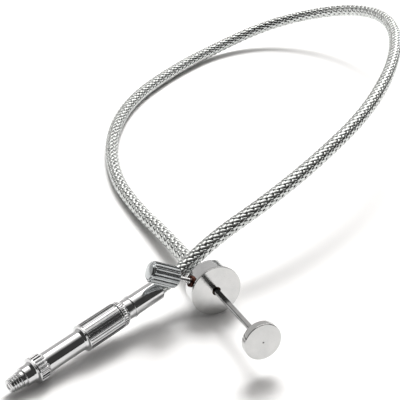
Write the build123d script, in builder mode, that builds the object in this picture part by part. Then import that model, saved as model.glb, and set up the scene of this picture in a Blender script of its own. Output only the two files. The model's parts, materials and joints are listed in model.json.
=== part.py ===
"""A mechanical camera cable release.

A thumb button pushes a rod through a round head. The rod drives a steel wire inside a braided
cable, and the wire pushes a pin out of the threaded nipple at the camera end. A knurled screw in
the side of the head locks the rod. The cable lies in one open loop, beside the head and over it.

Millimetres, +Z up, Z = 0 is the table. The origin is the middle of the base of the head and the
camera end together, without the cable. The button faces -Y.
"""
from build123d import *

import os
from math import cos, radians, sin, tan

# ---- Driving dimensions --------------------------------------------------------------------
running_gap = 0.05          # radial clearance of a running fit
stroke = 13.0               # travel of the button, the wire and the pin

# Head, measured along the plunger's axis from the front face, which is height 0
face_radius = 7.25
face_thickness = 0.8
hub_radius = 6.8
hub_back = -5.2
cap_back = -5.95
head_tilt = 5.0             # degrees that the plunger's axis rises towards the button
head_x, head_y = 27.3, 3.6

rod_radius = 0.85
rod_hole_radius = 1.25      # in the face plate
guide_bush_back = -1.9
rod_back = -5.0
button_radius = 5.1
button_back = 26.5
button_front = 28.7
stop_ring_front = -3.95
stop_ring_thickness = 0.8
stop_ring_radius = 1.4
stop_bore_radius = 1.5      # the stop ring travels in this bore
head_ferrule_radius = 2.8
# The conduit starts just behind the stop ring at the end of its travel
head_socket_front = stop_ring_front - stop_ring_thickness - stroke - 3.95
head_ferrule_back = -9.0
head_braid_front = -7.0     # the braid is drawn over the ferrule's long spigot from here

# Lock screw, measured along its own axis from the plunger's axis
lock_depth = -2.8           # where the two axes meet, along the plunger
lock_rise = 27.5            # degrees that the lock screw's axis rises
stud_radius = 0.8
pad_inner, pad_outer = 1.2, 2.7
lock_bush_inner, lock_bush_outer = 3.0, 7.5
lock_bush_radius = 1.6
knob_inner, knob_outer = 11.8, 20.7
knob_radius = 3.0
knob_flutes = 16

# Camera end, measured along its axis from the front of the small fluted ring, towards the cable
camera_x, camera_y = -27.4, -5.3
camera_turn = 20.3          # degrees from +X, seen from above
camera_rise = 6.5           # degrees that the axis rises towards the cable
tip = -7.6
thread_back = -4.1
thread_pitch = 0.7
thread_root_front, thread_root_back = 1.42, 1.88
thread_depth = 0.38
ring_lip_radius = 3.65
ring_lip_back = 0.4
ring_radius = 3.55
ring_flutes = 22
ring_back = 3.6
barrel_radius = 2.83
bore_radius = 1.9           # inside the barrel
barrel_back = 18.0
sleeve_front = 15.0
sleeve_lip_radius = 3.8
sleeve_lip_front, sleeve_lip_back = 16.05, 16.4
sleeve_radius = 3.7
sleeve_flutes = 26
sleeve_back = 28.1
collar_groove_front = 27.75  # a narrow groove parts the sleeve from its collar
sleeve_bore = 2.3
collar_back = 30.2
collar_flutes = 38
neck_radius = 2.9
neck_front, neck_back = 30.3, 32.4
step_back = 33.1
cable_ferrule_radius = 2.95
camera_socket_front = 36.0  # the cable starts here
cable_ferrule_back = 42.6
pin_radius = 0.7
pin_back = 22.0

# Cable
sheath_radius = 2.25
conduit_radius = 1.75
conduit_bore = 1.15
wire_radius = 0.4
# ---- End of driving dimensions -------------------------------------------------------------


def section_of(plane):
    """The half plane of a turned piece: local X is its radius and local Y runs along its axis."""
    return Plane(origin=plane.origin, x_dir=plane.x_dir, z_dir=plane.x_dir.cross(plane.z_dir))


# The head's plane: its Z points out of the face towards the button, its X at the lock knob
tilt, rise = radians(head_tilt), radians(lock_rise)
plunger_direction = Vector(0, -cos(tilt), sin(tilt))
lock_direction = Vector(-cos(rise), sin(tilt) * sin(rise), cos(tilt) * sin(rise))
# The lower back edge of the face plate touches the table
head_height = face_radius * cos(tilt) + face_thickness * sin(tilt)
head = Plane(
    origin=(head_x, head_y, head_height), x_dir=lock_direction, z_dir=plunger_direction
)
head_section = section_of(head)
head_axis = Axis(head.origin, head.z_dir)

# The lock screw's plane: its Z points outwards along the screw
lock = Plane(
    origin=head.offset(lock_depth).origin, x_dir=plunger_direction, z_dir=lock_direction
)
lock_section = section_of(lock)
lock_axis = Axis(lock.origin, lock.z_dir)

# The camera end's plane: its Z points along the axis towards the cable
turn, climb = radians(camera_turn), radians(camera_rise)
camera_direction = Vector(cos(climb) * cos(turn), cos(climb) * sin(turn), sin(climb))
camera = Plane(
    origin=(camera_x, camera_y, ring_lip_radius * cos(climb)),
    x_dir=Vector(-sin(turn), cos(turn), 0),
    z_dir=camera_direction,
)
camera_section = section_of(camera)
camera_axis = Axis(camera.origin, camera.z_dir)


# ---- Head ----------------------------------------------------------------------------------
with BuildPart() as face_plate:
    with BuildSketch(head.offset(-face_thickness)):
        Circle(face_radius)
        Circle(rod_hole_radius, mode=Mode.SUBTRACT)
    extrude(amount=face_thickness)
    chamfer(face_plate.edges().filter_by(GeomType.CIRCLE).sort_by(SortBy.RADIUS)[-2:], 0.12)

hub_throat = -3.9           # the stop ring rests on the shoulder here
with BuildPart() as hub_body:
    with BuildSketch(head_section):
        with BuildLine():
            Polyline(
                (lock_bush_radius, -face_thickness),
                (hub_radius, -face_thickness),
                (hub_radius, hub_back),
                (stop_bore_radius, hub_back),
                (stop_bore_radius, hub_throat),
                (rod_radius + 0.15, hub_throat),
                (rod_radius + 0.15, guide_bush_back),
                (lock_bush_radius, guide_bush_back),
                close=True,
            )
        make_face()
    revolve(axis=head_axis)
    with BuildSketch(lock):
        Circle(stud_radius + running_gap)
    extrude(amount=hub_radius + 1, mode=Mode.SUBTRACT)
    with BuildSketch(lock.offset(lock_bush_inner)):
        Circle(lock_bush_radius)
    extrude(amount=hub_radius, mode=Mode.SUBTRACT)

with BuildPart() as guide_bush:
    with BuildSketch(head.offset(guide_bush_back)):
        Circle(lock_bush_radius)
        Circle(rod_radius + running_gap, mode=Mode.SUBTRACT)
    extrude(amount=-face_thickness - guide_bush_back)

head_spigot_radius = 2.2
with BuildPart() as rear_cap:
    with BuildSketch(head.offset(cap_back)):
        Circle(hub_radius)
        Circle(head_spigot_radius, mode=Mode.SUBTRACT)
    extrude(amount=hub_back - cap_back)
    rear_edges = rear_cap.edges().filter_by(GeomType.CIRCLE).group_by(head_axis)[0]
    chamfer(rear_edges.sort_by(SortBy.RADIUS)[-1], 0.5)

with BuildPart() as head_ferrule:
    with BuildSketch(head_section):
        with BuildLine():
            Polyline(
                (stop_bore_radius, hub_back),
                (head_spigot_radius, hub_back),
                (head_spigot_radius, cap_back),
                (head_ferrule_radius, cap_back),
                (head_ferrule_radius, head_ferrule_back + 0.4),
                (head_ferrule_radius - 0.3, head_ferrule_back),
                (sheath_radius, head_ferrule_back),
                (sheath_radius, head_braid_front),
                (conduit_radius, head_braid_front),
                (conduit_radius, head_socket_front),
                (stop_bore_radius, head_socket_front),
                close=True,
            )
        make_face()
    revolve(axis=head_axis)

# ---- Plunger -------------------------------------------------------------------------------
rod_front = button_back + 0.7
with BuildPart() as plunger_rod:
    with BuildSketch(head.offset(rod_back)):
        Circle(rod_radius)
    extrude(amount=rod_front - rod_back)

button_boss_radius = 1.6
button_boss_back = button_back - 0.8
with BuildPart() as thumb_button:
    with BuildSketch(head_section):
        with BuildLine():
            Polyline(
                (rod_radius, button_boss_back),
                (button_boss_radius, button_boss_back),
                (button_boss_radius, button_back),
                (button_radius - 0.3, button_back),
                (button_radius, button_back + 0.3),
                (button_radius, button_front - 0.25),
                (button_radius - 0.25, button_front),
                (0.55, button_front),
                (0, button_front - 0.25),
                (0, rod_front),
                (rod_radius, rod_front),
                close=True,
            )
        make_face()
    revolve(axis=head_axis)

with BuildPart() as rod_stop_ring:
    with BuildSketch(head.offset(stop_ring_front - stop_ring_thickness)):
        Circle(stop_ring_radius)
        Circle(rod_radius, mode=Mode.SUBTRACT)
    extrude(amount=stop_ring_thickness)

# ---- Lock screw ----------------------------------------------------------------------------
with BuildPart() as lock_bush:
    with BuildSketch(lock.offset(lock_bush_inner)):
        Circle(lock_bush_radius)
        Circle(stud_radius + running_gap, mode=Mode.SUBTRACT)
    extrude(amount=lock_bush_outer - lock_bush_inner)
    outer_edges = lock_bush.edges().filter_by(GeomType.CIRCLE).group_by(lock_axis)[-1]
    chamfer(outer_edges.sort_by(SortBy.RADIUS)[-1], 0.2)

with BuildPart() as clamp_pad:
    with BuildSketch(lock.offset(pad_inner)):
        Circle(stud_radius)
    extrude(amount=pad_outer - pad_inner)

stud_outer = knob_outer - 3.0
with BuildPart() as lock_stud:
    with BuildSketch(lock.offset(pad_outer)):
        Circle(stud_radius)
    extrude(amount=stud_outer - pad_outer)

knob_flute_radius = 0.42
knob_end_radius = knob_radius - 0.62
knob_dome = 0.4             # the end is a shallow dome, part of a sphere centred on the axis
knob_sphere = (knob_end_radius**2 + knob_dome**2) / (2 * knob_dome)
with BuildPart() as lock_knob:
    with BuildSketch(lock.offset(knob_inner)):
        Circle(knob_radius)
        with PolarLocations(knob_radius + 0.08, knob_flutes):
            Circle(knob_flute_radius, mode=Mode.SUBTRACT)
    extrude(amount=knob_outer - knob_inner)
    with BuildSketch(lock_section):
        with BuildLine():
            Polyline(
                (0, knob_inner),
                (knob_radius - 0.5, knob_inner),
                (knob_radius + 0.1, knob_inner + 0.6),
                (knob_radius + 0.1, knob_outer - 1.15),
                (knob_end_radius, knob_outer - knob_dome),
            )
            RadiusArc((knob_end_radius, knob_outer - knob_dome), (0, knob_outer), -knob_sphere)
            Line((0, knob_outer), (0, knob_inner))
        make_face()
    revolve(axis=lock_axis, mode=Mode.INTERSECT)
    with BuildSketch(lock.offset(knob_inner)):
        Circle(stud_radius)
    extrude(amount=stud_outer - knob_inner, mode=Mode.SUBTRACT)

# ---- Camera end, the half that spins -------------------------------------------------------
spigot_back = 5.0
relief_radius, shank_radius = 2.2, 2.65
shank_front = -3.1
with BuildPart() as threaded_nipple:
    with BuildSketch(camera_section):
        with BuildLine():
            Polyline(
                (shank_radius, -1.0),
                (shank_radius, shank_front),
                (relief_radius, shank_front),
                (relief_radius, thread_back),
                (thread_root_back, thread_back),
                (thread_root_front, tip),
                (pin_radius + running_gap, tip),
                (pin_radius + running_gap, spigot_back),
                (bore_radius, spigot_back),
                (bore_radius, ring_lip_back),
                (ring_lip_radius, ring_lip_back),
                (ring_lip_radius, 0.0),
            )
            ThreePointArc((ring_lip_radius, 0.0), (2.95, -0.3), (shank_radius, -1.0))
        make_face()
    revolve(axis=camera_axis)
    # One crest ring for each turn of the tapered thread
    thread_turns = 5
    for number in range(thread_turns):
        height = thread_back - (number + 0.5) * thread_pitch
        share = (height - tip) / (thread_back - tip)
        root = thread_root_front + share * (thread_root_back - thread_root_front)
        with BuildSketch(camera_section):
            with BuildLine():
                Polyline(
                    (root - 0.1, height - thread_pitch / 2.1),
                    (root + thread_depth, height - 0.06),
                    (root + thread_depth, height + 0.06),
                    (root - 0.1, height + thread_pitch / 2.1),
                    close=True,
                )
            make_face()
        revolve(axis=camera_axis)

with BuildPart() as grip_ring:
    with BuildSketch(camera.offset(ring_lip_back)):
        Circle(ring_radius)
        with PolarLocations(ring_radius + 0.12, ring_flutes):
            Circle(0.34, mode=Mode.SUBTRACT)
        Circle(bore_radius, mode=Mode.SUBTRACT)
    extrude(amount=ring_back - ring_lip_back)
    with BuildSketch(camera_section):
        with BuildLine():
            Polyline(
                (1, ring_lip_back),
                (ring_radius + 0.1, ring_lip_back),
                (ring_radius + 0.1, ring_back - 1.0),
                (ring_radius - 0.25, ring_back - 0.35),
                (ring_radius - 0.6, ring_back),
                (1, ring_back),
                close=True,
            )
        make_face()
    revolve(axis=camera_axis, mode=Mode.INTERSECT)

with BuildPart() as barrel_tube:
    with BuildSketch(camera.offset(ring_back)):
        Circle(barrel_radius)
        Circle(bore_radius, mode=Mode.SUBTRACT)
    extrude(amount=barrel_back - ring_back)

with BuildPart() as grip_sleeve:
    with BuildSketch(camera.offset(sleeve_lip_back)):
        Circle(sleeve_radius)
        with PolarLocations(sleeve_radius + 0.1, sleeve_flutes):
            Circle(0.28, mode=Mode.SUBTRACT)
        Circle(sleeve_bore, mode=Mode.SUBTRACT)
    extrude(amount=collar_groove_front - sleeve_lip_back)
    with BuildSketch(camera_section):
        with BuildLine():
            Polyline(
                (barrel_radius + 0.1, sleeve_front),
                (barrel_radius, sleeve_front),
                (barrel_radius, sleeve_lip_back),
                (sleeve_lip_radius, sleeve_lip_back),
                (sleeve_lip_radius, sleeve_lip_front),
            )
            ThreePointArc(
                (sleeve_lip_radius, sleeve_lip_front), (3.15, 15.7), (barrel_radius + 0.1, sleeve_front)
            )
        make_face()
    revolve(axis=camera_axis)
    with BuildSketch(camera.offset(collar_groove_front)):
        Circle(sleeve_radius - 0.45)
        Circle(sleeve_bore, mode=Mode.SUBTRACT)
    extrude(amount=sleeve_back - collar_groove_front)
    with BuildSketch(camera.offset(sleeve_lip_back)):
        Circle(barrel_radius)
    extrude(amount=barrel_back - sleeve_lip_back, mode=Mode.SUBTRACT)

collar_spigot_front = 26.6
with BuildPart() as sleeve_collar:
    with BuildSketch(camera.offset(sleeve_back)):
        Circle(sleeve_radius)
        with PolarLocations(sleeve_radius + 0.08, collar_flutes):
            Circle(0.2, mode=Mode.SUBTRACT)
    extrude(amount=collar_back - sleeve_back)
    with BuildSketch(camera_section):
        with BuildLine():
            Polyline(
                (0, sleeve_back),
                (sleeve_radius - 0.1, sleeve_back),
                (sleeve_radius, sleeve_back + 0.2),
                (sleeve_radius - 0.05, collar_back - 1.2),
                (sleeve_radius - 0.25, collar_back - 0.5),
                (sleeve_radius - 0.65, collar_back),
                (0, collar_back),
                close=True,
            )
        make_face()
    revolve(axis=camera_axis, mode=Mode.INTERSECT)
    with BuildSketch(camera.offset(collar_spigot_front)):
        Circle(sleeve_bore)
    extrude(amount=sleeve_back - collar_spigot_front)
    with BuildSketch(camera.offset(collar_spigot_front)):
        Circle(bore_radius + running_gap)
    extrude(amount=collar_back - collar_spigot_front, mode=Mode.SUBTRACT)

swivel_flange_front, swivel_flange_back = 24.2, 25.4
with BuildPart() as thrust_washer:
    with BuildSketch(camera.offset(swivel_flange_back + 0.1)):
        Circle(sleeve_bore)
        Circle(bore_radius + running_gap, mode=Mode.SUBTRACT)
    extrude(amount=1.0)

# ---- Camera end, the pin and its spring ----------------------------------------------------
with BuildPart() as camera_pin:
    with BuildSketch(camera.offset(tip + 0.2)):
        Circle(pin_radius)
    extrude(amount=pin_back - tip - 0.2)
    chamfer(camera_pin.edges().filter_by(GeomType.CIRCLE).group_by(camera_axis)[0], 0.15)

collar_length = 1.0
with BuildPart() as pin_collar:
    with BuildSketch(camera.offset(pin_back - collar_length)):
        Circle(bore_radius - 0.1)
        Circle(pin_radius, mode=Mode.SUBTRACT)
    extrude(amount=collar_length)

spring_wire_radius = 0.15
spring_turns = 9
spring_front = spigot_back + spring_wire_radius + 0.05
spring_length = pin_back - collar_length - spring_wire_radius - 0.05 - spring_front
spring_coil_radius = 1.4
with BuildPart() as return_spring:
    with BuildLine():
        coil = Helix(
            pitch=spring_length / spring_turns,
            height=spring_length,
            radius=spring_coil_radius,
            center=camera.offset(spring_front).origin,
            direction=camera.z_dir,
        )
    with BuildSketch(Plane(origin=coil @ 0, z_dir=coil % 0)):
        Circle(spring_wire_radius)
    sweep(is_frenet=True)

# ---- Camera end, the half that the cable holds ---------------------------------------------
swivel_bore = 1.25
ferrule_spigot_radius = 2.2
ferrule_spigot_back = 35.5
with BuildPart() as swivel_tube:
    with BuildSketch(camera_section):
        with BuildLine():
            Polyline(
                (swivel_bore, swivel_flange_front),
                (sleeve_bore - running_gap, swivel_flange_front),
                (sleeve_bore - running_gap, swivel_flange_back),
                (bore_radius, swivel_flange_back),
                (bore_radius, neck_front),
                (neck_radius, neck_front),
                (neck_radius, neck_back),
                (ferrule_spigot_radius, neck_back),
                (ferrule_spigot_radius, ferrule_spigot_back),
                (swivel_bore, ferrule_spigot_back),
                close=True,
            )
        make_face()
    revolve(axis=camera_axis)

with BuildPart() as step_ring:
    with BuildSketch(camera.offset(neck_back)):
        Circle(cable_ferrule_radius + 0.2)
        Circle(ferrule_spigot_radius, mode=Mode.SUBTRACT)
    extrude(amount=step_back - neck_back)
    outer_edges = step_ring.edges().filter_by(GeomType.CIRCLE).sort_by(SortBy.RADIUS)[-2:]
    chamfer(outer_edges, 0.15)

with BuildPart() as cable_ferrule:
    with BuildSketch(camera_section):
        with BuildLine():
            Polyline(
                (cable_ferrule_radius, cable_ferrule_back - 0.65),
                (cable_ferrule_radius, step_back),
                (ferrule_spigot_radius, step_back),
                (ferrule_spigot_radius, ferrule_spigot_back),
                (swivel_bore, ferrule_spigot_back),
                (swivel_bore, camera_socket_front),
                (sheath_radius, camera_socket_front),
                (sheath_radius, cable_ferrule_back),
                (cable_ferrule_radius - 0.65, cable_ferrule_back),
            )
            ThreePointArc(
                (cable_ferrule_radius - 0.65, cable_ferrule_back),
                (cable_ferrule_radius - 0.19, cable_ferrule_back - 0.19),
                (cable_ferrule_radius, cable_ferrule_back - 0.65),
            )
        make_face()
    revolve(axis=camera_axis)

# ---- Cable ---------------------------------------------------------------------------------
# The route from the camera end's socket to the head. The braid goes on over the head's spigot
camera_socket = camera.offset(camera_socket_front).origin
head_socket = head.offset(head_socket_front).origin
braid_end = tuple(head.offset(head_braid_front).origin)
route_points = [
    tuple(camera_socket),
    tuple(camera.offset(cable_ferrule_back + 5.5).origin),
    (33.0, 18.0, 14.6),
    (52.0, 23.5, 19.0),
    (75.0, 34.0, 23.3),
    (101.0, 50.0, 27.0),
    (127.0, 76.0, 29.0),
    (147.0, 107.0, 27.8),
    (155.0, 135.0, 23.5),
    (149.0, 159.0, 16.5),
    (129.0, 173.0, 9.0),
    (103.0, 171.0, 3.0),
    (76.0, 156.5, 2.3),
    (51.5, 137.0, 2.3),
    (35.0, 112.0, 2.3),
    (26.5, 84.0, 2.3),
    (26.0, 61.0, 2.4),
    tuple(head.offset(head_socket_front - 15.9).origin),
    tuple(head_socket),
]
corners = [Vector(*point) for point in route_points]
radii = []
for before, corner, after in zip(corners, corners[1:], corners[2:]):
    shorter_run = min((corner - before).length, (after - corner).length)
    half_turn = radians((corner - before).get_angle(after - corner) / 2)
    radii.append(0.45 * shorter_run / tan(half_turn))
print("cable arc radii, mm:", [round(radius, 1) for radius in radii])


def along_route(start, end, *circle_radii):
    """One solid swept along the route, from start to end: a rod, or a tube with a second radius."""
    with BuildPart() as piece:
        with BuildLine() as path:
            FilletPolyline(start, *route_points[1:-1], end, radius=radii)
        with BuildSketch(Plane(origin=path.line @ 0, z_dir=path.line % 0)) as ring:
            Circle(circle_radii[0])
            if len(circle_radii) > 1:
                Circle(circle_radii[1], mode=Mode.SUBTRACT)
        sweep()
    length = path.wires()[0].length
    share = piece.part.volume / (ring.sketch.area * length)
    print(f"route length {length:.1f} mm, volume over section times length {share:.4f}")
    return piece


braided_sheath = along_route(route_points[0], braid_end, sheath_radius, conduit_radius)
spiral_conduit = along_route(route_points[0], route_points[-1], conduit_radius, conduit_bore)
core_wire = along_route(
    tuple(camera.offset(pin_back).origin), tuple(head.offset(rod_back).origin), wire_radius
)

# ---- Write every piece ---------------------------------------------------------------------
pieces = {
    "face_plate": face_plate,
    "hub_body": hub_body,
    "guide_bush": guide_bush,
    "rear_cap": rear_cap,
    "head_ferrule": head_ferrule,
    "plunger_rod": plunger_rod,
    "thumb_button": thumb_button,
    "rod_stop_ring": rod_stop_ring,
    "lock_bush": lock_bush,
    "clamp_pad": clamp_pad,
    "lock_stud": lock_stud,
    "lock_knob": lock_knob,
    "threaded_nipple": threaded_nipple,
    "grip_ring": grip_ring,
    "barrel_tube": barrel_tube,
    "grip_sleeve": grip_sleeve,
    "sleeve_collar": sleeve_collar,
    "thrust_washer": thrust_washer,
    "camera_pin": camera_pin,
    "pin_collar": pin_collar,
    "return_spring": return_spring,
    "swivel_tube": swivel_tube,
    "step_ring": step_ring,
    "cable_ferrule": cable_ferrule,
    "braided_sheath": braided_sheath,
    "spiral_conduit": spiral_conduit,
    "core_wire": core_wire,
}
os.makedirs("parts", exist_ok=True)
for name, piece in pieces.items():
    piece.part.label = name
    export_step(piece.part, f"parts/{name}.step")
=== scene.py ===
"""The looks of a mechanical camera cable release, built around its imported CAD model.

Sizes named in millimetres are turned into metres by MM where a mesh is made. Every turned piece is
a profile of (radius, height) points along one of three axes: the head's, the lock screw's and the
camera end's. Their places come from the frame's joints and boxes.
"""
import json
from math import atan, cos, hypot, pi, radians, sin, sqrt, tan

import bpy
import numpy as np
from mathutils import Matrix, Vector


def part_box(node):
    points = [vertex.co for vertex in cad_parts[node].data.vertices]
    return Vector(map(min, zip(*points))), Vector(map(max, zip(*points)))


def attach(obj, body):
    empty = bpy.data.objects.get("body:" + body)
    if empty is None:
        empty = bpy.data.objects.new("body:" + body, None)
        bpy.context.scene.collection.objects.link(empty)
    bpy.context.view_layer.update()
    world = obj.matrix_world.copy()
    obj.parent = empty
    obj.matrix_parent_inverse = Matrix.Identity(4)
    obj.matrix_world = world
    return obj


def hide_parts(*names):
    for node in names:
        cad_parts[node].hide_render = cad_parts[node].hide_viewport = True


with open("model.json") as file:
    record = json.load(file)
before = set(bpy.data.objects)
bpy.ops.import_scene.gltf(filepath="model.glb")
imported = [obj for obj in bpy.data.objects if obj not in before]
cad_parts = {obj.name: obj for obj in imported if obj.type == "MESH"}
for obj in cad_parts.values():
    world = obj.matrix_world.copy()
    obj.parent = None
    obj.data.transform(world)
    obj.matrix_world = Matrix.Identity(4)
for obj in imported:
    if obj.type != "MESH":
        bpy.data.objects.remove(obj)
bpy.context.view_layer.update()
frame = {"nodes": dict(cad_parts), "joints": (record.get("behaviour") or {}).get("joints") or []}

MM = 0.001

# ---- Sizes that several sections use -------------------------------------------------------
FACE_THICKNESS = 0.8
SHEATH_RADIUS, CONDUIT_RADIUS, WIRE_RADIUS = 2.25, 1.62, 0.4
BRAID_FRONT, CONDUIT_FRONT = -7.0, -21.7    # along the head: the braid is drawn over its spigot
CAMERA_SOCKET, FERRULE_BACK = 36.0, 42.6    # along the camera end
SMOOTH_SIDES = 144

# ---- Places, from the frame ----------------------------------------------------------------
LOCK_JOINT_HEIGHT = 11.5    # the lock screw's joint is this far out along its axis


def joint(name):
    return next(j for j in frame["joints"] if j["name"] == name)


def placed(origin, direction, side):
    """A matrix whose local Z runs along direction from origin, with local X near side."""
    z = direction.normalized()
    x = (side - z * side.dot(z)).normalized()
    y = z.cross(x)
    turned = Matrix((x, y, z)).transposed().to_4x4()
    return Matrix.Translation(origin) @ turned


plunge = -Vector(joint("plunger_press")["axis"])
lock_direction = -Vector(joint("lock_screw_turn")["axis"])
camera_direction = Vector(joint("nipple_spin")["axis"])
low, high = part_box("face_plate")
head_origin = (low + high) / 2 + plunge * FACE_THICKNESS / 2 * MM
lock_origin = Vector(joint("lock_screw_turn")["pos_m"]) - lock_direction * LOCK_JOINT_HEIGHT * MM
camera_origin = Vector(joint("nipple_spin")["pos_m"])

HEAD = placed(head_origin, plunge, lock_direction)
LOCK = placed(lock_origin, lock_direction, plunge)
CAMERA = placed(camera_origin, camera_direction, Vector((0, 0, 1)))


def along(place, height):
    """The point on a place's axis at that height in millimetres."""
    return place @ Vector((0, 0, height * MM))


# ---- Materials -----------------------------------------------------------------------------
def add(tree, kind, **values):
    node = tree.nodes.new(kind)
    for name, value in values.items():
        if hasattr(node, name):
            setattr(node, name, value)
        else:
            node.inputs[name].default_value = value
    return node


def math(tree, operation, a, b=None):
    node = add(tree, "ShaderNodeMath", operation=operation)
    for socket, value in zip(node.inputs, (a, b)):
        if isinstance(value, (int, float)):
            socket.default_value = value
        elif value is not None:
            tree.links.new(value, socket)
    return node.outputs[0]


def ramp(tree, factor, stops):
    """A colour ramp with (position, grey or colour) stops."""
    node = tree.nodes.new("ShaderNodeValToRGB")
    while len(node.color_ramp.elements) < len(stops):
        node.color_ramp.elements.new(0.5)
    for element, (position, colour) in zip(node.color_ramp.elements, stops):
        element.position = position
        element.color = (*colour, 1) if hasattr(colour, "__len__") else (colour, colour, colour, 1)
    tree.links.new(factor, node.inputs[0])
    return node.outputs[0]


def noise(tree, vector, scale, detail=3.0):
    node = add(tree, "ShaderNodeTexNoise", Scale=scale, Detail=detail)
    tree.links.new(vector, node.inputs["Vector"])
    return node.outputs["Fac"]


CLOUD_SCALE = 260.0         # slow changes of tone on plated metal
PATCH_SCALE, GRAIN_SCALE = 900.0, 9000.0    # patches and grain on drawn wire


def turned_metal(name, place, dark, light, roughness, mark_scale=9000.0, mark_depth=0.00002):
    """Plated metal with fine turning marks round the axis of place, and a slow change of tone."""
    material = bpy.data.materials.new(name)
    material.use_nodes = True
    tree = material.node_tree
    surface = tree.nodes["Principled BSDF"]
    surface.inputs["Metallic"].default_value = 1.0
    position = add(tree, "ShaderNodeTexCoord").outputs["Object"]
    mapping = add(tree, "ShaderNodeMapping", vector_type="TEXTURE")
    mapping.inputs["Location"].default_value = place.to_translation()
    mapping.inputs["Rotation"].default_value = place.to_euler()
    tree.links.new(position, mapping.inputs["Vector"])
    split = add(tree, "ShaderNodeSeparateXYZ")
    tree.links.new(mapping.outputs[0], split.inputs[0])
    x, y, z = split.outputs
    radius = math(tree, "SQRT", math(tree, "ADD", math(tree, "MULTIPLY", x, x), math(tree, "MULTIPLY", y, y)))
    groove = add(tree, "ShaderNodeCombineXYZ")
    tree.links.new(radius, groove.inputs[0])
    tree.links.new(z, groove.inputs[1])
    marks = noise(tree, groove.outputs[0], mark_scale)
    clouds = noise(tree, position, CLOUD_SCALE)
    tree.links.new(ramp(tree, clouds, [(0.35, dark), (0.65, light)]), surface.inputs["Base Color"])
    spread = add(tree, "ShaderNodeMapRange")
    spread.inputs["To Min"].default_value = roughness * 0.7
    spread.inputs["To Max"].default_value = roughness * 1.4
    tree.links.new(math(tree, "ADD", math(tree, "MULTIPLY", marks, 0.5), math(tree, "MULTIPLY", clouds, 0.5)),
                   spread.inputs["Value"])
    tree.links.new(spread.outputs[0], surface.inputs["Roughness"])
    bump = add(tree, "ShaderNodeBump", Strength=0.35, Distance=mark_depth)
    tree.links.new(marks, bump.inputs["Height"])
    tree.links.new(bump.outputs[0], surface.inputs["Normal"])
    return material


CHROME_DARK, CHROME_LIGHT = (0.6, 0.605, 0.61), (0.68, 0.685, 0.69)
camera_chrome = turned_metal("camera_chrome", CAMERA, CHROME_DARK, CHROME_LIGHT, 0.05)
head_chrome = turned_metal("head_chrome", HEAD, CHROME_DARK, CHROME_LIGHT, 0.08)
face_chrome = turned_metal("face_chrome", HEAD, (0.54, 0.543, 0.54), (0.6, 0.6, 0.595), 0.12, 6000.0, 0.00003)
lock_chrome = turned_metal("lock_chrome", LOCK, (0.42, 0.44, 0.45), (0.56, 0.58, 0.59), 0.16)
stud_steel = turned_metal("stud_steel", LOCK, (0.6, 0.6, 0.6), (0.75, 0.75, 0.75), 0.15)
rod_steel = turned_metal("rod_steel", HEAD, (0.42, 0.42, 0.42), (0.55, 0.55, 0.55), 0.12)
pin_steel = turned_metal("pin_steel", CAMERA, (0.5, 0.5, 0.5), (0.62, 0.62, 0.62), 0.2)
lock_brass = turned_metal("lock_brass", LOCK, (0.05, 0.018, 0.012), (0.12, 0.045, 0.03), 0.25)
head_bronze = turned_metal("head_bronze", HEAD, (0.03, 0.022, 0.016), (0.08, 0.055, 0.04), 0.4)
camera_brass = turned_metal("camera_brass", CAMERA, (0.5, 0.3, 0.14), (0.64, 0.4, 0.2), 0.25)


def wire_metal(name, dark, light, roughness):
    """Drawn wire: small patches of tone and a fine grain."""
    material = bpy.data.materials.new(name)
    material.use_nodes = True
    tree = material.node_tree
    surface = tree.nodes["Principled BSDF"]
    surface.inputs["Metallic"].default_value = 1.0
    position = add(tree, "ShaderNodeTexCoord").outputs["Object"]
    patches = noise(tree, position, PATCH_SCALE)
    grain = noise(tree, position, GRAIN_SCALE, 2.0)
    tree.links.new(ramp(tree, patches, [(0.3, dark), (0.6, light)]), surface.inputs["Base Color"])
    spread = add(tree, "ShaderNodeMapRange")
    spread.inputs["To Min"].default_value = roughness * 0.6
    spread.inputs["To Max"].default_value = roughness * 1.5
    tree.links.new(patches, spread.inputs["Value"])
    tree.links.new(spread.outputs[0], surface.inputs["Roughness"])
    bump = add(tree, "ShaderNodeBump", Strength=0.3, Distance=0.00002)
    tree.links.new(grain, bump.inputs["Height"])
    tree.links.new(bump.outputs[0], surface.inputs["Normal"])
    return material


braid_wire = wire_metal("braid_wire", (0.4, 0.41, 0.4), (0.68, 0.7, 0.69), 0.2)
# The conduit's near-black tone is painted shade: it darkens the gaps between the braid bundles.
conduit_steel_gap_shade = wire_metal("conduit_steel_gap_shade", (0.05, 0.05, 0.05), (0.12, 0.12, 0.12), 0.5)
spring_steel = wire_metal("spring_steel", (0.35, 0.35, 0.36), (0.5, 0.5, 0.5), 0.3)


# ---- Mesh helpers --------------------------------------------------------------------------
def made(name, points, faces, material, body, replaced, sharp_angle=40.0):
    """A smooth-shaded piece that rides on a body and stands for CAD nodes."""
    mesh = bpy.data.meshes.new(name)
    mesh.from_pydata([tuple(p) for p in points], [], faces)
    mesh.materials.append(material)
    mesh.polygons.foreach_set("use_smooth", [True] * len(mesh.polygons))
    mesh.set_sharp_from_angle(angle=radians(sharp_angle))
    mesh.validate()
    piece = bpy.data.objects.new(name, mesh)
    bpy.context.scene.collection.objects.link(piece)
    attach(piece, body)
    if replaced:
        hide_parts(*replaced)
    return piece


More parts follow.
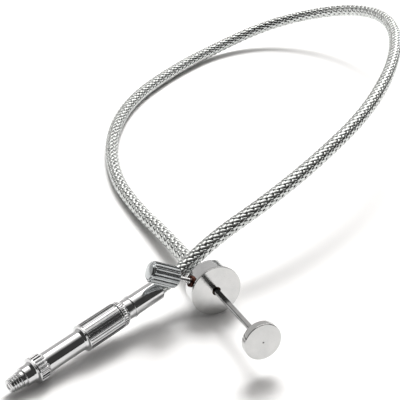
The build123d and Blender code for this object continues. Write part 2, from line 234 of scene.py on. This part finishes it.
def eased(corners, steps=4):
    """A closed profile from (radius, height, rounding) corners, each rounded by an arc."""
    outline = []
    count = len(corners)
    for i, (r, h, rounding) in enumerate(corners):
        here = np.array((r, h))
        before = np.array(corners[i - 1][:2]) - here
        after = np.array(corners[(i + 1) % count][:2]) - here
        if rounding <= 0 or r <= 0:
            outline.append((r, h))
            continue
        length_in, length_out = np.linalg.norm(before), np.linalg.norm(after)
        before, after = before / length_in, after / length_out
        half = np.arccos(np.clip(before @ after, -1, 1)) / 2
        reach = min(rounding / tan(half), 0.48 * length_in, 0.48 * length_out)
        radius = reach * tan(half)
        centre = here + (before + after) / np.linalg.norm(before + after) * radius / sin(half)
        start, end = here + before * reach - centre, here + after * reach - centre
        sweep = pi - 2 * half
        for step in range(steps + 1):
            share = step / steps
            point = (start * sin((1 - share) * sweep) + end * sin(share * sweep)) / sin(sweep)
            outline.append(tuple(centre + point))
    return outline


def finer(outline, longest):
    """The same closed profile with no step longer than that, in millimetres."""
    result = []
    for here, after in zip(outline, outline[1:] + outline[:1]):
        steps = max(1, int(np.ceil(hypot(after[0] - here[0], after[1] - here[1]) / longest)))
        for step in range(steps):
            share = step / steps
            result.append(tuple(a + (b - a) * share for a, b in zip(here, after)))
    return result


def lathe(name, place, outline, material, body, replaced, sides=96, surface=None, sharp_angle=40.0):
    """A closed profile turned round its axis. surface(radius, height, angles) may cut the radii."""
    angles = np.arange(sides) * 2 * pi / sides
    points, rows, faces = [], [], []
    for r, h in outline:
        if r < 1e-6:
            rows.append([len(points)])
            points.append((0, 0, h))
            continue
        radii = surface(r, h, angles) if surface else np.full(sides, r)
        rows.append(list(range(len(points), len(points) + sides)))
        points.extend(zip(radii * np.cos(angles), radii * np.sin(angles), np.full(sides, h)))
    for row, following in zip(rows, rows[1:] + rows[:1]):
        for i in range(sides):
            j = (i + 1) % sides
            if len(row) == 1 and len(following) == 1:
                break
            if len(row) == 1:
                faces.append((row[0], following[j], following[i]))
            elif len(following) == 1:
                faces.append((row[i], row[j], following[0]))
            else:
                faces.append((row[i], row[j], following[j], following[i]))
    world = [place @ (Vector(p) * MM) for p in points]
    piece = made(name, world, faces, material, body, replaced, sharp_angle)
    piece.modifiers.new("flat faces", "WEIGHTED_NORMAL").keep_sharp = True
    return piece


def flutes(count, outer, depth, width_share, start=-1e9, end=1e9):
    """A surface for lathe: round-bottomed grooves along the axis, cut into everything outside them."""
    def cut(radius, height, angles):
        if not start <= height <= end:
            return np.full(len(angles), radius)
        phase = np.abs((angles * count / (2 * pi)) % 1 - 0.5) / (width_share / 2)
        groove = outer - depth * np.sqrt(np.clip(1 - phase**2, 0, 1))
        return np.minimum(radius, groove)
    return cut


# ---- Head ----------------------------------------------------------------------------------
FACE_RADIUS, FACE_BORE = 7.25, 1.25
HUB_RADIUS, HUB_BACK = 6.8, -5.2
CAP_BORE, CAP_BACK = 2.2, -5.95
HEAD_FERRULE_RADIUS, HEAD_FERRULE_BACK, SPIGOT_BORE = 2.8, -9.0, 1.5
ROD_RADIUS, ROD_BACK, ROD_FRONT = 0.85, -5.0, 27.2
BUTTON_RADIUS, BUTTON_BACK, BUTTON_FRONT = 5.1, 26.5, 28.7
BOSS_RADIUS, BOSS_BACK = 1.6, 25.7
MARK_RADIUS, MARK_DEPTH = 0.34, 0.3         # the small mark in the middle of the button

lathe("fine_face_plate", HEAD, eased([
    (FACE_BORE, 0, 0.05), (FACE_RADIUS, 0, 0.14), (FACE_RADIUS, -FACE_THICKNESS, 0.14),
    (FACE_BORE, -FACE_THICKNESS, 0),
]), face_chrome, "cable", ["face_plate"], SMOOTH_SIDES)

lathe("fine_rear_cap", HEAD, eased([
    (CAP_BORE, HUB_BACK, 0), (HUB_RADIUS, HUB_BACK, 0.05), (HUB_RADIUS, CAP_BACK, 0.5),
    (CAP_BORE, CAP_BACK, 0),
]), head_chrome, "cable", ["rear_cap"], SMOOTH_SIDES)

lathe("fine_head_ferrule", HEAD, eased([
    (SPIGOT_BORE, HUB_BACK, 0), (CAP_BORE, HUB_BACK, 0), (CAP_BORE, CAP_BACK, 0),
    (HEAD_FERRULE_RADIUS, CAP_BACK, 0.05), (HEAD_FERRULE_RADIUS, HEAD_FERRULE_BACK, 0.4),
    (SHEATH_RADIUS, HEAD_FERRULE_BACK, 0.05), (SHEATH_RADIUS, BRAID_FRONT, 0),
    (CONDUIT_RADIUS, BRAID_FRONT, 0), (CONDUIT_RADIUS, CONDUIT_FRONT, 0), (SPIGOT_BORE, CONDUIT_FRONT, 0),
]), head_chrome, "cable", ["head_ferrule"], SMOOTH_SIDES)

lathe("fine_plunger_rod", HEAD, eased([
    (0, ROD_BACK, 0), (ROD_RADIUS, ROD_BACK, 0.1), (ROD_RADIUS, ROD_FRONT, 0), (0, ROD_FRONT, 0),
]), rod_steel, "plunger", ["plunger_rod"], 64)

lathe("fine_thumb_button", HEAD, eased([
    (ROD_RADIUS, BOSS_BACK, 0), (BOSS_RADIUS, BOSS_BACK, 0.15), (BOSS_RADIUS, BUTTON_BACK, 0.2),
    (BUTTON_RADIUS, BUTTON_BACK, 0.3), (BUTTON_RADIUS, BUTTON_FRONT, 0.22),
    (MARK_RADIUS, BUTTON_FRONT, 0.05), (0, BUTTON_FRONT - MARK_DEPTH, 0),
    (0, ROD_FRONT, 0), (ROD_RADIUS, ROD_FRONT, 0),
]), face_chrome, "plunger", ["thumb_button"], SMOOTH_SIDES)

# ---- Lock screw ----------------------------------------------------------------------------
BUSH_BORE, BUSH_RADIUS, BUSH_INNER, BUSH_OUTER = 0.85, 1.6, 3.0, 7.5
STUD_RADIUS, PAD_OUTER = 0.8, 2.7
KNOB_RADIUS, KNOB_INNER, KNOB_OUTER, KNOB_FLUTES = 3.0, 11.8, 20.7, 16
KNOB_END_RADIUS, KNOB_DOME, DOME_STEPS = 2.38, 0.4, 8

lathe("fine_lock_bush", LOCK, eased([
    (BUSH_BORE, BUSH_INNER, 0), (BUSH_RADIUS, BUSH_INNER, 0), (BUSH_RADIUS, BUSH_OUTER, 0.2),
    (BUSH_BORE, BUSH_OUTER, 0.05),
]), lock_brass, "cable", ["lock_bush"], 96)

STUD_OUTER = KNOB_OUTER - 3.0               # the stud ends inside the knob
STUD_PITCH, STUD_THREAD_DEPTH = 0.5, 0.1


def stud_thread(radius, height, angles):
    """A fine thread where the stud shows between the bush and the knob."""
    fade = np.clip(min(height - PAD_OUTER - 0.3, KNOB_INNER - 0.3 - height) / 0.4, 0, 1)
    phase = np.abs((height / STUD_PITCH - angles / (2 * pi)) % 1 - 0.5) * 2
    return radius - STUD_THREAD_DEPTH * phase * fade


lathe("fine_lock_stud", LOCK, finer(eased([
    (0, PAD_OUTER, 0), (STUD_RADIUS, PAD_OUTER, 0.1), (STUD_RADIUS, STUD_OUTER, 0), (0, STUD_OUTER, 0),
]), STUD_PITCH / 8), stud_steel, "lock_screw", ["lock_stud"], 40, stud_thread, 180.0)

knob_outline = eased([
    (0, KNOB_INNER, 0), (KNOB_RADIUS - 0.5, KNOB_INNER, 0.1), (KNOB_RADIUS, KNOB_INNER + 0.5, 0.1),
    (KNOB_RADIUS, KNOB_OUTER - 1.05, 0.15), (KNOB_END_RADIUS, KNOB_OUTER - KNOB_DOME, 0.15),
])
knob_sphere = (KNOB_END_RADIUS**2 + KNOB_DOME**2) / (2 * KNOB_DOME)
for step in range(1, DOME_STEPS + 1):
    dome_radius = KNOB_END_RADIUS * (1 - step / DOME_STEPS) * 0.93    # inside the rounded edge
    knob_outline.append((dome_radius, KNOB_OUTER - knob_sphere + sqrt(knob_sphere**2 - dome_radius**2)))
lathe("fine_lock_knob", LOCK, finer(knob_outline, 0.12), lock_chrome, "lock_screw",
      ["lock_knob"], KNOB_FLUTES * 12, flutes(KNOB_FLUTES, KNOB_RADIUS + 0.02, 0.36, 0.8), 50.0)

# ---- Camera end ----------------------------------------------------------------------------
TIP, THREAD_BACK, THREAD_PITCH = -7.6, -4.1, 0.7
ROOT_FRONT, ROOT_BACK, THREAD_DEPTH = 1.42, 1.88, 0.38
RELIEF_RADIUS, SHANK_RADIUS, SHANK_FRONT, NIPPLE_BACK = 2.2, 2.65, -3.1, 5.0
PIN_BORE, BORE_RADIUS, BARREL_RADIUS, BARREL_BACK = 0.75, 1.9, 2.83, 18.0
LIP_RADIUS, LIP_BACK, RING_RADIUS, RING_FLUTES, RING_BACK = 3.65, 0.4, 3.55, 22, 3.6
SLEEVE_LIP, SLEEVE_RADIUS, SLEEVE_FLUTES, SLEEVE_BORE, SLEEVE_FRONT = 3.8, 3.7, 26, 2.3, 15.0
BAND_FRONT, SLEEVE_BACK = 16.4, 28.1
COLLAR_BORE, COLLAR_FRONT, COLLAR_BACK, COLLAR_FLUTES = 1.95, 26.6, 30.2, 38
SWIVEL_BORE, SWIVEL_FRONT, SWIVEL_BACK = 1.25, 24.2, 35.5
FLANGE_RADIUS, FLANGE_BACK, SEAT_RADIUS = 2.25, 25.4, 2.2
NECK_RADIUS, NECK_FRONT, NECK_BACK = 2.9, 30.3, 32.4
STEP_RADIUS, STEP_BACK, FERRULE_RADIUS = 3.15, 33.1, 2.95


def camera_thread(radius, height, angles):
    """The tapered helical thread between the tip and the relief groove."""
    if radius < 1.2 or not TIP < height < THREAD_BACK:
        return np.full(len(angles), radius)
    turn = (height - TIP) / THREAD_PITCH - angles / (2 * pi)
    crest = np.clip(1.25 - 2.5 * np.abs(turn % 1 - 0.5), 0, 1)
    ends = np.clip(np.minimum(height - TIP, THREAD_BACK - height) / 0.2, 0, 1)
    return radius + THREAD_DEPTH * crest * ends


nipple_outline = eased([
    (PIN_BORE, TIP, 0.1), (ROOT_FRONT, TIP, 0.1), (ROOT_BACK, THREAD_BACK, 0),
    (RELIEF_RADIUS, THREAD_BACK, 0.08), (RELIEF_RADIUS, SHANK_FRONT, 0.05),
    (SHANK_RADIUS, SHANK_FRONT, 0.12), (SHANK_RADIUS, -1.1, 0.5), (2.95, -0.35, 0.6),
    (LIP_RADIUS, -0.02, 0.04), (LIP_RADIUS, LIP_BACK, 0.08), (BORE_RADIUS, LIP_BACK, 0),
    (BORE_RADIUS, NIPPLE_BACK, 0), (PIN_BORE, NIPPLE_BACK, 0),
])
lathe("fine_threaded_nipple", CAMERA, finer(nipple_outline, 0.07), camera_chrome, "nipple",
      ["threaded_nipple"], 96, camera_thread, 60.0)

lathe("fine_grip_ring", CAMERA, finer(eased([
    (BORE_RADIUS, LIP_BACK, 0), (RING_RADIUS, LIP_BACK, 0.02), (RING_RADIUS, RING_BACK - 0.9, 0.3),
    (RING_RADIUS - 0.6, RING_BACK, 0.1), (BORE_RADIUS, RING_BACK, 0),
]), 0.15), camera_chrome, "nipple", ["grip_ring"], RING_FLUTES * 10,
    flutes(RING_FLUTES, RING_RADIUS, 0.38, 0.62), 50.0)

lathe("fine_barrel_tube", CAMERA, eased([
    (BORE_RADIUS, RING_BACK, 0), (BARREL_RADIUS, RING_BACK, 0), (BARREL_RADIUS, BARREL_BACK, 0),
    (BORE_RADIUS, BARREL_BACK, 0),
]), camera_chrome, "nipple", ["barrel_tube"], SMOOTH_SIDES)

lathe("fine_grip_sleeve", CAMERA, finer(eased([
    (SLEEVE_BORE, BARREL_BACK, 0), (BARREL_RADIUS, BARREL_BACK, 0), (BARREL_RADIUS, SLEEVE_FRONT, 0.02),
    (2.95, 15.2, 0.6), (3.2, 15.75, 0.5), (SLEEVE_LIP, 16.05, 0.05), (SLEEVE_LIP, BAND_FRONT, 0.08),
    (SLEEVE_RADIUS, BAND_FRONT, 0), (SLEEVE_RADIUS, SLEEVE_BACK - 0.35, 0.08),
    (SLEEVE_RADIUS - 0.45, SLEEVE_BACK - 0.35, 0), (SLEEVE_RADIUS - 0.45, SLEEVE_BACK, 0),
    (SLEEVE_BORE, SLEEVE_BACK, 0),
]), 0.3), camera_chrome, "nipple", ["grip_sleeve"], SLEEVE_FLUTES * 10,
    flutes(SLEEVE_FLUTES, SLEEVE_RADIUS, 0.36, 0.5, BAND_FRONT + 0.01, SLEEVE_BACK), 50.0)

lathe("fine_sleeve_collar", CAMERA, finer(eased([
    (COLLAR_BORE, COLLAR_FRONT, 0), (SLEEVE_BORE, COLLAR_FRONT, 0), (SLEEVE_BORE, SLEEVE_BACK, 0),
    (SLEEVE_RADIUS, SLEEVE_BACK, 0.12), (SLEEVE_RADIUS, COLLAR_BACK - 1.0, 0.8),
    (SLEEVE_RADIUS - 0.6, COLLAR_BACK, 0.15), (COLLAR_BORE, COLLAR_BACK, 0),
]), 0.15), camera_chrome, "nipple", ["sleeve_collar"], COLLAR_FLUTES * 8,
    flutes(COLLAR_FLUTES, SLEEVE_RADIUS + 0.01, 0.2, 0.6), 50.0)

lathe("fine_swivel_tube", CAMERA, eased([
    (SWIVEL_BORE, SWIVEL_FRONT, 0), (FLANGE_RADIUS, SWIVEL_FRONT, 0.05), (FLANGE_RADIUS, FLANGE_BACK, 0),
    (BORE_RADIUS, FLANGE_BACK, 0), (BORE_RADIUS, NECK_FRONT, 0), (NECK_RADIUS, NECK_FRONT, 0.1),
    (NECK_RADIUS, NECK_BACK, 0), (SEAT_RADIUS, NECK_BACK, 0), (SEAT_RADIUS, SWIVEL_BACK, 0),
    (SWIVEL_BORE, SWIVEL_BACK, 0),
]), camera_chrome, "cable", ["swivel_tube"], SMOOTH_SIDES)

lathe("fine_step_ring", CAMERA, eased([
    (SEAT_RADIUS, NECK_BACK, 0), (STEP_RADIUS, NECK_BACK, 0.15), (STEP_RADIUS, STEP_BACK, 0.15),
    (SEAT_RADIUS, STEP_BACK, 0),
]), camera_chrome, "cable", ["step_ring"], SMOOTH_SIDES)

lathe("fine_cable_ferrule", CAMERA, eased([
    (SWIVEL_BORE, SWIVEL_BACK, 0), (SEAT_RADIUS, SWIVEL_BACK, 0), (SEAT_RADIUS, STEP_BACK, 0),
    (FERRULE_RADIUS, STEP_BACK, 0.05), (FERRULE_RADIUS, FERRULE_BACK, 0.65),
    (SHEATH_RADIUS, FERRULE_BACK, 0.03), (SHEATH_RADIUS, CAMERA_SOCKET, 0), (SWIVEL_BORE, CAMERA_SOCKET, 0),
], 6), camera_chrome, "cable", ["cable_ferrule"], SMOOTH_SIDES)

# ---- Cable ---------------------------------------------------------------------------------
route = [
    along(CAMERA, CAMERA_SOCKET),
    along(CAMERA, FERRULE_BACK + 5.5),
    Vector((0.033, 0.018, 0.0146)),
    Vector((0.052, 0.0235, 0.019)),
    Vector((0.075, 0.034, 0.0233)),
    Vector((0.101, 0.05, 0.027)),
    Vector((0.127, 0.076, 0.029)),
    Vector((0.147, 0.107, 0.0278)),
    Vector((0.155, 0.135, 0.0235)),
    Vector((0.149, 0.159, 0.0165)),
    Vector((0.129, 0.173, 0.009)),
    Vector((0.103, 0.171, 0.003)),
    Vector((0.076, 0.1565, 0.0023)),
    Vector((0.0515, 0.137, 0.0023)),
    Vector((0.035, 0.112, 0.0023)),
    Vector((0.0265, 0.084, 0.0023)),
    Vector((0.026, 0.061, 0.0024)),
    along(HEAD, CONDUIT_FRONT - 15.9),
    along(HEAD, BRAID_FRONT),
]
LINE_STEPS = 16             # samples of the spline from one route point to the next

line = bpy.data.curves.new("route", "CURVE")
line.dimensions = "3D"
line.resolution_u = LINE_STEPS
spline = line.splines.new("NURBS")
spline.points.add(len(route) - 1)
for control, corner in zip(spline.points, route):
    control.co = (*corner, 1)
spline.order_u = 3
spline.use_endpoint_u = True
guide = bpy.data.objects.new("route", line)
sampled = bpy.data.meshes.new_from_object(guide)
centreline = np.array([v.co for v in sampled.vertices])
bpy.data.objects.remove(guide)
bpy.data.meshes.remove(sampled)


class Path:
    """A line with a frame that doesn't twist, read at any distance from its start."""

    def __init__(self, points):
        self.points = points
        steps = np.diff(points, axis=0)
        self.distance = np.concatenate([[0], np.cumsum(np.linalg.norm(steps, axis=1))])
        tangents = np.gradient(points, self.distance, axis=0)
        self.tangents = tangents / np.linalg.norm(tangents, axis=1)[:, None]
        side = np.cross(self.tangents[0], (0, 0, 1))
        sides = []
        for tangent in self.tangents:
            side = side - tangent * (side @ tangent)
            side = side / np.linalg.norm(side)
            sides.append(side)
        self.sides = np.array(sides)
        self.length = self.distance[-1]

    def at(self, distance, radius, angle):
        """Points at these distances along the line, off it by radius at angle, as arrays."""
        def read(values):
            return np.stack([np.interp(distance, self.distance, column) for column in values.T], axis=-1)
        tangent, side = read(self.tangents), read(self.sides)
        up = np.cross(tangent, side)
        offset = side * np.cos(angle)[..., None] + up * np.sin(angle)[..., None]
        return read(self.points) + offset * radius[..., None]


cable = Path(centreline)

CARRIERS = 6                # bundles each way
LAY = 16.2                  # one turn of a bundle round the cable
BUNDLE_WIDTH, BUNDLE_WIRES = 1.22, 4
BUNDLE_CROWN, WIRE_DEPTH = 0.17, 0.05
BUNDLE_BASE_WIDTH, BUNDLE_BASE = 0.8 * BUNDLE_WIDTH, -0.07      # its flat underside
BRAID_RADIUS, WEAVE = 1.89, 0.14
WEAVE_SLOPE = 1.4           # above 1, a bundle stays up or down for longer and changes over faster
SAMPLES_PER_CROSSING = 4


def bundle_section():
    """(across, height) points of a flat bundle of round wires, in millimetres."""
    top = []
    for step in range(2 * BUNDLE_WIRES + 1):
        share = step / BUNDLE_WIRES - 1
        crown = BUNDLE_CROWN * (1 - share**4)
        top.append((share * BUNDLE_WIDTH / 2, crown + (WIRE_DEPTH if step % 2 else 0.0)))
    return top + [(BUNDLE_BASE_WIDTH / 2, BUNDLE_BASE), (-BUNDLE_BASE_WIDTH / 2, BUNDLE_BASE)]


def tube_faces(rings, around):
    """Quads of a closed tube of rings, with a face at each end."""
    index = np.arange(rings * around).reshape(rings, around)
    here, after = index[:-1], index[1:]
    quads = np.stack([here, np.roll(here, -1, 1), np.roll(after, -1, 1), after], axis=-1).reshape(-1, 4)
    return [tuple(q) for q in quads.tolist()] + [tuple(index[0][::-1].tolist()), tuple(index[-1].tolist())]


def braid_half(hand):
    """The points and faces of the bundles that turn one way."""
    section = np.array(bundle_section())
    crossings = cable.length / MM / LAY * 2 * CARRIERS
    distance = np.linspace(0, cable.length / MM, int(crossings * SAMPLES_PER_CROSSING) + 1)
    climb = atan(2 * pi * BRAID_RADIUS / LAY)
    points, faces = [], []
    for carrier in range(CARRIERS):
        turns = carrier / CARRIERS + hand * distance / LAY
        weave = hand * np.clip(WEAVE_SLOPE * np.cos(2 * pi * CARRIERS * distance / LAY), -1, 1)
        middle = BRAID_RADIUS + WEAVE * weave
        across, height = section[:, 0], section[:, 1]
        angle = 2 * pi * turns[:, None] + across * cos(climb) / BRAID_RADIUS
        place = distance[:, None] - hand * across * sin(climb)
        radius = middle[:, None] + height
        place = np.clip(place, 0, cable.length / MM)
        rings = cable.at(place * MM, radius * MM, angle)
        faces += [tuple(i + len(points) for i in face) for face in tube_faces(len(distance), len(section))]
        points += rings.reshape(-1, 3).tolist()
    return points, faces


right_points, right_faces = braid_half(1)
left_points, left_faces = braid_half(-1)
braid_right = made("braid_right_hand", right_points, right_faces, braid_wire, "cable",
                   ["braided_sheath"], 60.0)
braid_left = made("braid_left_hand", left_points, left_faces, braid_wire, "cable", [], 60.0)

CONDUIT_PITCH, CONDUIT_GROOVE = 1.1, 0.12
groove_steps = np.array([0.0, 0.12, 0.5, 0.88])     # shares of one coil, which starts with its groove
groove_radii = np.array([CONDUIT_RADIUS - CONDUIT_GROOVE, CONDUIT_RADIUS, CONDUIT_RADIUS, CONDUIT_RADIUS])
coils = int((cable.length / MM + CONDUIT_FRONT - BRAID_FRONT) / CONDUIT_PITCH)
conduit_distance = (np.arange(coils)[:, None] + groove_steps).ravel() * CONDUIT_PITCH
conduit_radii = np.tile(groove_radii, coils)
CONDUIT_SIDES = 14
around = np.arange(CONDUIT_SIDES) * 2 * pi / CONDUIT_SIDES
conduit_place = conduit_distance[:, None] + 0 * around
conduit_points = cable.at(conduit_place * MM, (conduit_radii[:, None] + 0 * around) * MM,
                          around + 0 * conduit_place)
conduit = made("wound_conduit", conduit_points.reshape(-1, 3), tube_faces(len(conduit_distance), CONDUIT_SIDES),
               conduit_steel_gap_shade, "cable", ["spiral_conduit"])

PIN_BACK = 22.0
wire_line = Path(np.vstack([[along(CAMERA, PIN_BACK)], centreline, [along(HEAD, ROD_BACK)]]))
WIRE_SIDES = 10
around = np.arange(WIRE_SIDES) * 2 * pi / WIRE_SIDES
wire_place = wire_line.distance[:, None] + 0 * around
wire_points = wire_line.at(wire_place, np.full(wire_place.shape, WIRE_RADIUS * MM), around + 0 * wire_place)
push_wire = made("push_wire", wire_points.reshape(-1, 3), tube_faces(len(wire_line.distance), WIRE_SIDES),
                 spring_steel, "cable", ["core_wire"])

# ---- CAD nodes that keep their shape -------------------------------------------------------
kept = {
    "hub_body": head_chrome, "guide_bush": head_bronze, "rod_stop_ring": rod_steel, "clamp_pad": lock_brass,
    "thrust_washer": camera_brass, "camera_pin": pin_steel, "pin_collar": pin_steel,
    "return_spring": spring_steel,
}
for name, material in kept.items():
    node = frame["nodes"][name]
    for slot in node.material_slots:
        slot.material = material

# ---- Floor, light and camera ---------------------------------------------------------------
FLOOR_SIZE = 6.0
floor_mesh = bpy.data.meshes.new("floor")
half = FLOOR_SIZE / 2
floor_corners = [(-half, -half, 0), (half, -half, 0), (half, half, 0), (-half, half, 0)]
floor_mesh.from_pydata(floor_corners, [], [(0, 1, 2, 3)])
floor = bpy.data.objects.new("floor", floor_mesh)
bpy.context.scene.collection.objects.link(floor)
paper = bpy.data.materials.new("white_paper")
paper.use_nodes = True
paper_surface = paper.node_tree.nodes["Principled BSDF"]
for name, value in (("Base Color", (0.92, 0.915, 0.91, 1)), ("Roughness", 0.9), ("Specular IOR Level", 0.1)):
    paper_surface.inputs[name].default_value = value
floor_mesh.materials.append(paper)

world = bpy.data.worlds.new("studio")
bpy.context.scene.world = world
world.use_nodes = True
sky = world.node_tree
background = sky.nodes["Background"]
# A softbox overhead and behind, fading towards the front, a grey wall behind and a dark room in front
SOFTBOX_STRENGTH, WALL_STRENGTH, ROOM_STRENGTH = 2.5, 0.65, 0.06
towards = add(sky, "ShaderNodeSeparateXYZ")
sky.links.new(add(sky, "ShaderNodeTexCoord").outputs["Generated"], towards.inputs[0])
right, back, up = towards.outputs


def fade(value, start, end, low, high):
    """A smooth change from low to high as value goes from start to end."""
    node = add(sky, "ShaderNodeMapRange", interpolation_type="SMOOTHSTEP")
    for name, number in (("From Min", start), ("From Max", end), ("To Min", low), ("To Max", high)):
        node.inputs[name].default_value = number
    sky.links.new(value, node.inputs["Value"])
    return node.outputs[0]


softbox = fade(back, -0.35, 0.5, 0.0, SOFTBOX_STRENGTH)
# Its edges behind, at the left, at the right and at the horizon
for limit in (fade(back, 0.6, 0.66, 1.0, 0.0), fade(right, -0.3, -0.1, 0.0, 1.0),
              fade(right, 0.7, 0.85, 1.0, 0.0), fade(up, 0.0, 0.15, 0.0, 1.0)):
    softbox = math(sky, "MULTIPLY", softbox, limit)
wall = fade(back, 0.1, 0.6, ROOM_STRENGTH, WALL_STRENGTH)
sky.links.new(math(sky, "ADD", softbox, wall), background.inputs["Strength"])
background.inputs["Color"].default_value = (1.0, 0.985, 0.97, 1)
pale = add(sky, "ShaderNodeBackground")
pale.inputs["Color"].default_value = (1, 1, 1, 1)
seen = add(sky, "ShaderNodeMixShader")
sky.links.new(add(sky, "ShaderNodeLightPath").outputs["Is Camera Ray"], seen.inputs[0])
sky.links.new(background.outputs[0], seen.inputs[1])
sky.links.new(pale.outputs[0], seen.inputs[2])
sky.links.new(seen.outputs[0], sky.nodes["World Output"].inputs["Surface"])
bpy.context.scene.view_settings.view_transform = "Standard"

# A softbox behind and to the right. It lights the floor and isn't seen in the metal
KEY_DISTANCE, KEY_SIZE, KEY_ENERGY = 1.0, 0.4, 9.5
KEY_TILT, KEY_RIGHT, KEY_BACK = radians(40), 0.45, 0.89
key_way = Vector((KEY_RIGHT * sin(KEY_TILT), KEY_BACK * sin(KEY_TILT), cos(KEY_TILT)))
key_light = bpy.data.lights.new("softbox", "AREA")
key_light.size = KEY_SIZE
key_light.energy = KEY_ENERGY
key = bpy.data.objects.new("softbox", key_light)
key.location = head_origin + key_way * KEY_DISTANCE
key.rotation_euler = key_way.to_track_quat("Z", "Y").to_euler()
key.visible_glossy = False
bpy.context.scene.collection.objects.link(key)

CAMERA_POSITION = Vector((-79.36, -229.56, 184.0)) * MM
CAMERA_AZIMUTH, CAMERA_PITCH = radians(23.57), radians(30.0)
SENSOR_WIDTH, FOCAL_LENGTH = 36.0, 102.4
looking = Vector((
    sin(CAMERA_AZIMUTH) * cos(CAMERA_PITCH), cos(CAMERA_AZIMUTH) * cos(CAMERA_PITCH), -sin(CAMERA_PITCH)
))
lens = bpy.data.cameras.new("camera")
lens.sensor_width = SENSOR_WIDTH
lens.lens = FOCAL_LENGTH
lens.clip_start = 0.01
viewpoint = bpy.data.objects.new("camera", lens)
viewpoint.location = CAMERA_POSITION
viewpoint.rotation_euler = looking.to_track_quat("-Z", "Y").to_euler()
bpy.context.scene.collection.objects.link(viewpoint)
bpy.context.scene.camera = viewpoint
